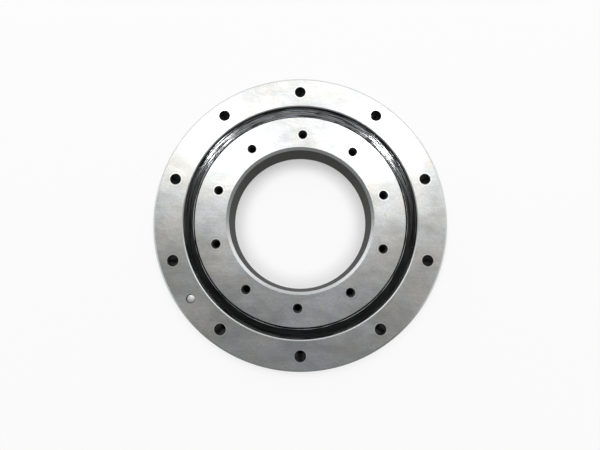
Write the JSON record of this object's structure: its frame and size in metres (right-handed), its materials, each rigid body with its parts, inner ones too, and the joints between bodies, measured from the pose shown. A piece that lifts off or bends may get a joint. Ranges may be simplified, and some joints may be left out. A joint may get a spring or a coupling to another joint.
{
  "type": "crossed roller bearing",
  "caption": "Flat sealed bearing with bolt-on inner and outer rings that turn on rollers crossed at right angles in a V-shaped raceway.",
  "frame": {"origin": "on the bearing's axis, halfway through its width", "axes": "+Z along the axis, out of the face with the plain bolt holes; +Y through a bolt hole of the outer ring"},
  "size_m": [0.165, 0.165, 0.022],
  "materials": {
    "ring_steel": "satin",
    "plug_steel": "satin",
    "pin_steel": "gloss",
    "roller_steel": "polished",
    "seal_rubber": "satin",
    "spacer_resin": "matte"
  },
  "bodies": {
    "outer": {"outer_ring": "ring_steel", "loading_plug": "plug_steel", "taper_pin": "pin_steel", "upper_seal": "seal_rubber", "lower_seal": "seal_rubber"},
    "inner": {"inner_ring": "ring_steel"},
    "roller_train": {"roller_spacers": "spacer_resin"},
    "roller_01_body": {"roller_01": "roller_steel"},
    "roller_02_body": {"roller_02": "roller_steel"},
    "roller_03_body": {"roller_03": "roller_steel"},
    "roller_04_body": {"roller_04": "roller_steel"},
    "roller_05_body": {"roller_05": "roller_steel"},
    "roller_06_body": {"roller_06": "roller_steel"},
    "roller_07_body": {"roller_07": "roller_steel"},
    "roller_08_body": {"roller_08": "roller_steel"},
    "roller_09_body": {"roller_09": "roller_steel"},
    "roller_10_body": {"roller_10": "roller_steel"},
    "roller_11_body": {"roller_11": "roller_steel"},
    "roller_12_body": {"roller_12": "roller_steel"},
    "roller_13_body": {"roller_13": "roller_steel"},
    "roller_14_body": {"roller_14": "roller_steel"},
    "roller_15_body": {"roller_15": "roller_steel"},
    "roller_16_body": {"roller_16": "roller_steel"},
    "roller_17_body": {"roller_17": "roller_steel"},
    "roller_18_body": {"roller_18": "roller_steel"},
    "roller_19_body": {"roller_19": "roller_steel"},
    "roller_20_body": {"roller_20": "roller_steel"},
    "roller_21_body": {"roller_21": "roller_steel"},
    "roller_22_body": {"roller_22": "roller_steel"},
    "roller_23_body": {"roller_23": "roller_steel"},
    "roller_24_body": {"roller_24": "roller_steel"},
    "roller_25_body": {"roller_25": "roller_steel"},
    "roller_26_body": {"roller_26": "roller_steel"},
    "roller_27_body": {"roller_27": "roller_steel"},
    "roller_28_body": {"roller_28": "roller_steel"},
    "roller_29_body": {"roller_29": "roller_steel"},
    "roller_30_body": {"roller_30": "roller_steel"},
    "roller_31_body": {"roller_31": "roller_steel"},
    "roller_32_body": {"roller_32": "roller_steel"},
    "roller_33_body": {"roller_33": "roller_steel"},
    "roller_34_body": {"roller_34": "roller_steel"},
    "roller_35_body": {"roller_35": "roller_steel"},
    "roller_36_body": {"roller_36": "roller_steel"},
    "roller_37_body": {"roller_37": "roller_steel"},
    "roller_38_body": {"roller_38": "roller_steel"},
    "roller_39_body": {"roller_39": "roller_steel"},
    "roller_40_body": {"roller_40": "roller_steel"},
    "roller_41_body": {"roller_41": "roller_steel"},
    "roller_42_body": {"roller_42": "roller_steel"}
  },
  "joints": [
    {"name": "inner_ring_turn", "type": "hinge", "parent": "outer", "child": "inner", "pos_m": [0, 0, 0], "axis": [0, 0, 1], "continuous": true},
    {"name": "roller_train_turn", "type": "hinge", "parent": "outer", "child": "roller_train", "pos_m": [0, 0, 0], "axis": [0, 0, 1], "continuous": true},
    {"name": "roller_01_spin", "type": "hinge", "parent": "roller_train", "child": "roller_01_body", "pos_m": [0.062, 0, 0], "axis": [0.7071, 0, 0.7071], "continuous": true},
    {"name": "roller_02_spin", "type": "hinge", "parent": "roller_train", "child": "roller_02_body", "pos_m": [0.06131, 0.00924, 0], "axis": [-0.6992, -0.1054, 0.7071], "continuous": true},
    {"name": "roller_03_spin", "type": "hinge", "parent": "roller_train", "child": "roller_03_body", "pos_m": [0.05925, 0.01827, 0], "axis": [0.6757, 0.2084, 0.7071], "continuous": true},
    {"name": "roller_04_spin", "type": "hinge", "parent": "roller_train", "child": "roller_04_body", "pos_m": [0.05586, 0.0269, 0], "axis": [-0.6371, -0.3068, 0.7071], "continuous": true},
    {"name": "roller_05_spin", "type": "hinge", "parent": "roller_train", "child": "roller_05_body", "pos_m": [0.05123, 0.03493, 0], "axis": [0.5842, 0.3983, 0.7071], "continuous": true},
    {"name": "roller_06_spin", "type": "hinge", "parent": "roller_train", "child": "roller_06_body", "pos_m": [0.04545, 0.04217, 0], "axis": [-0.5183, -0.481, 0.7071], "continuous": true},
    {"name": "roller_07_spin", "type": "hinge", "parent": "roller_train", "child": "roller_07_body", "pos_m": [0.03866, 0.04847, 0], "axis": [0.4409, 0.5528, 0.7071], "continuous": true},
    {"name": "roller_08_spin", "type": "hinge", "parent": "roller_train", "child": "roller_08_body", "pos_m": [0.031, 0.05369, 0], "axis": [-0.3536, -0.6124, 0.7071], "continuous": true},
    {"name": "roller_09_spin", "type": "hinge", "parent": "roller_train", "child": "roller_09_body", "pos_m": [0.02265, 0.05771, 0], "axis": [0.2583, 0.6582, 0.7071], "continuous": true},
    {"name": "roller_10_spin", "type": "hinge", "parent": "roller_train", "child": "roller_10_body", "pos_m": [0.0138, 0.06045, 0], "axis": [-0.1573, -0.6894, 0.7071], "continuous": true},
    {"name": "roller_11_spin", "type": "hinge", "parent": "roller_train", "child": "roller_11_body", "pos_m": [0.00463, 0.06183, 0], "axis": [0.0528, 0.7051, 0.7071], "continuous": true},
    {"name": "roller_12_spin", "type": "hinge", "parent": "roller_train", "child": "roller_12_body", "pos_m": [-0.00463, 0.06183, 0], "axis": [0.0528, -0.7051, 0.7071], "continuous": true},
    {"name": "roller_13_spin", "type": "hinge", "parent": "roller_train", "child": "roller_13_body", "pos_m": [-0.0138, 0.06045, 0], "axis": [-0.1573, 0.6894, 0.7071], "continuous": true},
    {"name": "roller_14_spin", "type": "hinge", "parent": "roller_train", "child": "roller_14_body", "pos_m": [-0.02265, 0.05771, 0], "axis": [0.2583, -0.6582, 0.7071], "continuous": true},
    {"name": "roller_15_spin", "type": "hinge", "parent": "roller_train", "child": "roller_15_body", "pos_m": [-0.031, 0.05369, 0], "axis": [-0.3536, 0.6124, 0.7071], "continuous": true},
    {"name": "roller_16_spin", "type": "hinge", "parent": "roller_train", "child": "roller_16_body", "pos_m": [-0.03866, 0.04847, 0], "axis": [0.4409, -0.5528, 0.7071], "continuous": true},
    {"name": "roller_17_spin", "type": "hinge", "parent": "roller_train", "child": "roller_17_body", "pos_m": [-0.04545, 0.04217, 0], "axis": [-0.5183, 0.481, 0.7071], "continuous": true},
    {"name": "roller_18_spin", "type": "hinge", "parent": "roller_train", "child": "roller_18_body", "pos_m": [-0.05123, 0.03493, 0], "axis": [0.5842, -0.3983, 0.7071], "continuous": true},
    {"name": "roller_19_spin", "type": "hinge", "parent": "roller_train", "child": "roller_19_body", "pos_m": [-0.05586, 0.0269, 0], "axis": [-0.6371, 0.3068, 0.7071], "continuous": true},
    {"name": "roller_20_spin", "type": "hinge", "parent": "roller_train", "child": "roller_20_body", "pos_m": [-0.05925, 0.01827, 0], "axis": [0.6757, -0.2084, 0.7071], "continuous": true},
    {"name": "roller_21_spin", "type": "hinge", "parent": "roller_train", "child": "roller_21_body", "pos_m": [-0.06131, 0.00924, 0], "axis": [-0.6992, 0.1054, 0.7071], "continuous": true},
    {"name": "roller_22_spin", "type": "hinge", "parent": "roller_train", "child": "roller_22_body", "pos_m": [-0.062, 0, 0], "axis": [0.7071, 0, 0.7071], "continuous": true},
    {"name": "roller_23_spin", "type": "hinge", "parent": "roller_train", "child": "roller_23_body", "pos_m": [-0.06131, -0.00924, 0], "axis": [-0.6992, -0.1054, 0.7071], "continuous": true},
    {"name": "roller_24_spin", "type": "hinge", "parent": "roller_train", "child": "roller_24_body", "pos_m": [-0.05925, -0.01827, 0], "axis": [0.6757, 0.2084, 0.7071], "continuous": true},
    {"name": "roller_25_spin", "type": "hinge", "parent": "roller_train", "child": "roller_25_body", "pos_m": [-0.05586, -0.0269, 0], "axis": [-0.6371, -0.3068, 0.7071], "continuous": true},
    {"name": "roller_26_spin", "type": "hinge", "parent": "roller_train", "child": "roller_26_body", "pos_m": [-0.05123, -0.03493, 0], "axis": [0.5842, 0.3983, 0.7071], "continuous": true},
    {"name": "roller_27_spin", "type": "hinge", "parent": "roller_train", "child": "roller_27_body", "pos_m": [-0.04545, -0.04217, 0], "axis": [-0.5183, -0.481, 0.7071], "continuous": true},
    {"name": "roller_28_spin", "type": "hinge", "parent": "roller_train", "child": "roller_28_body", "pos_m": [-0.03866, -0.04847, 0], "axis": [0.4409, 0.5528, 0.7071], "continuous": true},
    {"name": "roller_29_spin", "type": "hinge", "parent": "roller_train", "child": "roller_29_body", "pos_m": [-0.031, -0.05369, 0], "axis": [-0.3536, -0.6124, 0.7071], "continuous": true},
    {"name": "roller_30_spin", "type": "hinge", "parent": "roller_train", "child": "roller_30_body", "pos_m": [-0.02265, -0.05771, 0], "axis": [0.2583, 0.6582, 0.7071], "continuous": true},
    {"name": "roller_31_spin", "type": "hinge", "parent": "roller_train", "child": "roller_31_body", "pos_m": [-0.0138, -0.06045, 0], "axis": [-0.1573, -0.6894, 0.7071], "continuous": true},
    {"name": "roller_32_spin", "type": "hinge", "parent": "roller_train", "child": "roller_32_body", "pos_m": [-0.00463, -0.06183, 0], "axis": [0.0528, 0.7051, 0.7071], "continuous": true},
    {"name": "roller_33_spin", "type": "hinge", "parent": "roller_train", "child": "roller_33_body", "pos_m": [0.00463, -0.06183, 0], "axis": [0.0528, -0.7051, 0.7071], "continuous": true},
    {"name": "roller_34_spin", "type": "hinge", "parent": "roller_train", "child": "roller_34_body", "pos_m": [0.0138, -0.06045, 0], "axis": [-0.1573, 0.6894, 0.7071], "continuous": true},
    {"name": "roller_35_spin", "type": "hinge", "parent": "roller_train", "child": "roller_35_body", "pos_m": [0.02265, -0.05771, 0], "axis": [0.2583, -0.6582, 0.7071], "continuous": true},
    {"name": "roller_36_spin", "type": "hinge", "parent": "roller_train", "child": "roller_36_body", "pos_m": [0.031, -0.05369, 0], "axis": [-0.3536, 0.6124, 0.7071], "continuous": true},
    {"name": "roller_37_spin", "type": "hinge", "parent": "roller_train", "child": "roller_37_body", "pos_m": [0.03866, -0.04847, 0], "axis": [0.4409, -0.5528, 0.7071], "continuous": true},
    {"name": "roller_38_spin", "type": "hinge", "parent": "roller_train", "child": "roller_38_body", "pos_m": [0.04545, -0.04217, 0], "axis": [-0.5183, 0.481, 0.7071], "continuous": true},
    {"name": "roller_39_spin", "type": "hinge", "parent": "roller_train", "child": "roller_39_body", "pos_m": [0.05123, -0.03493, 0], "axis": [0.5842, -0.3983, 0.7071], "continuous": true},
    {"name": "roller_40_spin", "type": "hinge", "parent": "roller_train", "child": "roller_40_body", "pos_m": [0.05586, -0.0269, 0], "axis": [-0.6371, 0.3068, 0.7071], "continuous": true},
    {"name": "roller_41_spin", "type": "hinge", "parent": "roller_train", "child": "roller_41_body", "pos_m": [0.05925, -0.01827, 0], "axis": [0.6757, -0.2084, 0.7071], "continuous": true},
    {"name": "roller_42_spin", "type": "hinge", "parent": "roller_train", "child": "roller_42_body", "pos_m": [0.06131, -0.00924, 0], "axis": [-0.6992, 0.1054, 0.7071], "continuous": true}
  ],
  "couplings": [
    {"joint": "roller_train_turn", "follows": "inner_ring_turn", "ratio": 0.47719},
    {"joint": "roller_01_spin", "follows": "inner_ring_turn", "ratio": -7.7339},
    {"joint": "roller_02_spin", "follows": "inner_ring_turn", "ratio": -7.7339},
    {"joint": "roller_03_spin", "follows": "inner_ring_turn", "ratio": -7.7339},
    {"joint": "roller_04_spin", "follows": "inner_ring_turn", "ratio": -7.7339},
    {"joint": "roller_05_spin", "follows": "inner_ring_turn", "ratio": -7.7339},
    {"joint": "roller_06_spin", "follows": "inner_ring_turn", "ratio": -7.7339},
    {"joint": "roller_07_spin", "follows": "inner_ring_turn", "ratio": -7.7339},
    {"joint": "roller_08_spin", "follows": "inner_ring_turn", "ratio": -7.7339},
    {"joint": "roller_09_spin", "follows": "inner_ring_turn", "ratio": -7.7339},
    {"joint": "roller_10_spin", "follows": "inner_ring_turn", "ratio": -7.7339},
    {"joint": "roller_11_spin", "follows": "inner_ring_turn", "ratio": -7.7339},
    {"joint": "roller_12_spin", "follows": "inner_ring_turn", "ratio": -7.7339},
    {"joint": "roller_13_spin", "follows": "inner_ring_turn", "ratio": -7.7339},
    {"joint": "roller_14_spin", "follows": "inner_ring_turn", "ratio": -7.7339},
    {"joint": "roller_15_spin", "follows": "inner_ring_turn", "ratio": -7.7339},
    {"joint": "roller_16_spin", "follows": "inner_ring_turn", "ratio": -7.7339},
    {"joint": "roller_17_spin", "follows": "inner_ring_turn", "ratio": -7.7339},
    {"joint": "roller_18_spin", "follows": "inner_ring_turn", "ratio": -7.7339},
    {"joint": "roller_19_spin", "follows": "inner_ring_turn", "ratio": -7.7339},
    {"joint": "roller_20_spin", "follows": "inner_ring_turn", "ratio": -7.7339},
    {"joint": "roller_21_spin", "follows": "inner_ring_turn", "ratio": -7.7339},
    {"joint": "roller_22_spin", "follows": "inner_ring_turn", "ratio": -7.7339},
    {"joint": "roller_23_spin", "follows": "inner_ring_turn", "ratio": -7.7339},
    {"joint": "roller_24_spin", "follows": "inner_ring_turn", "ratio": -7.7339},
    {"joint": "roller_25_spin", "follows": "inner_ring_turn", "ratio": -7.7339},
    {"joint": "roller_26_spin", "follows": "inner_ring_turn", "ratio": -7.7339},
    {"joint": "roller_27_spin", "follows": "inner_ring_turn", "ratio": -7.7339},
    {"joint": "roller_28_spin", "follows": "inner_ring_turn", "ratio": -7.7339},
    {"joint": "roller_29_spin", "follows": "inner_ring_turn", "ratio": -7.7339},
    {"joint": "roller_30_spin", "follows": "inner_ring_turn", "ratio": -7.7339},
    {"joint": "roller_31_spin", "follows": "inner_ring_turn", "ratio": -7.7339},
    {"joint": "roller_32_spin", "follows": "inner_ring_turn", "ratio": -7.7339},
    {"joint": "roller_33_spin", "follows": "inner_ring_turn", "ratio": -7.7339},
    {"joint": "roller_34_spin", "follows": "inner_ring_turn", "ratio": -7.7339},
    {"joint": "roller_35_spin", "follows": "inner_ring_turn", "ratio": -7.7339},
    {"joint": "roller_36_spin", "follows": "inner_ring_turn", "ratio": -7.7339},
    {"joint": "roller_37_spin", "follows": "inner_ring_turn", "ratio": -7.7339},
    {"joint": "roller_38_spin", "follows": "inner_ring_turn", "ratio": -7.7339},
    {"joint": "roller_39_spin", "follows": "inner_ring_turn", "ratio": -7.7339},
    {"joint": "roller_40_spin", "follows": "inner_ring_turn", "ratio": -7.7339},
    {"joint": "roller_41_spin", "follows": "inner_ring_turn", "ratio": -7.7339},
    {"joint": "roller_42_spin", "follows": "inner_ring_turn", "ratio": -7.7339}
  ]
}
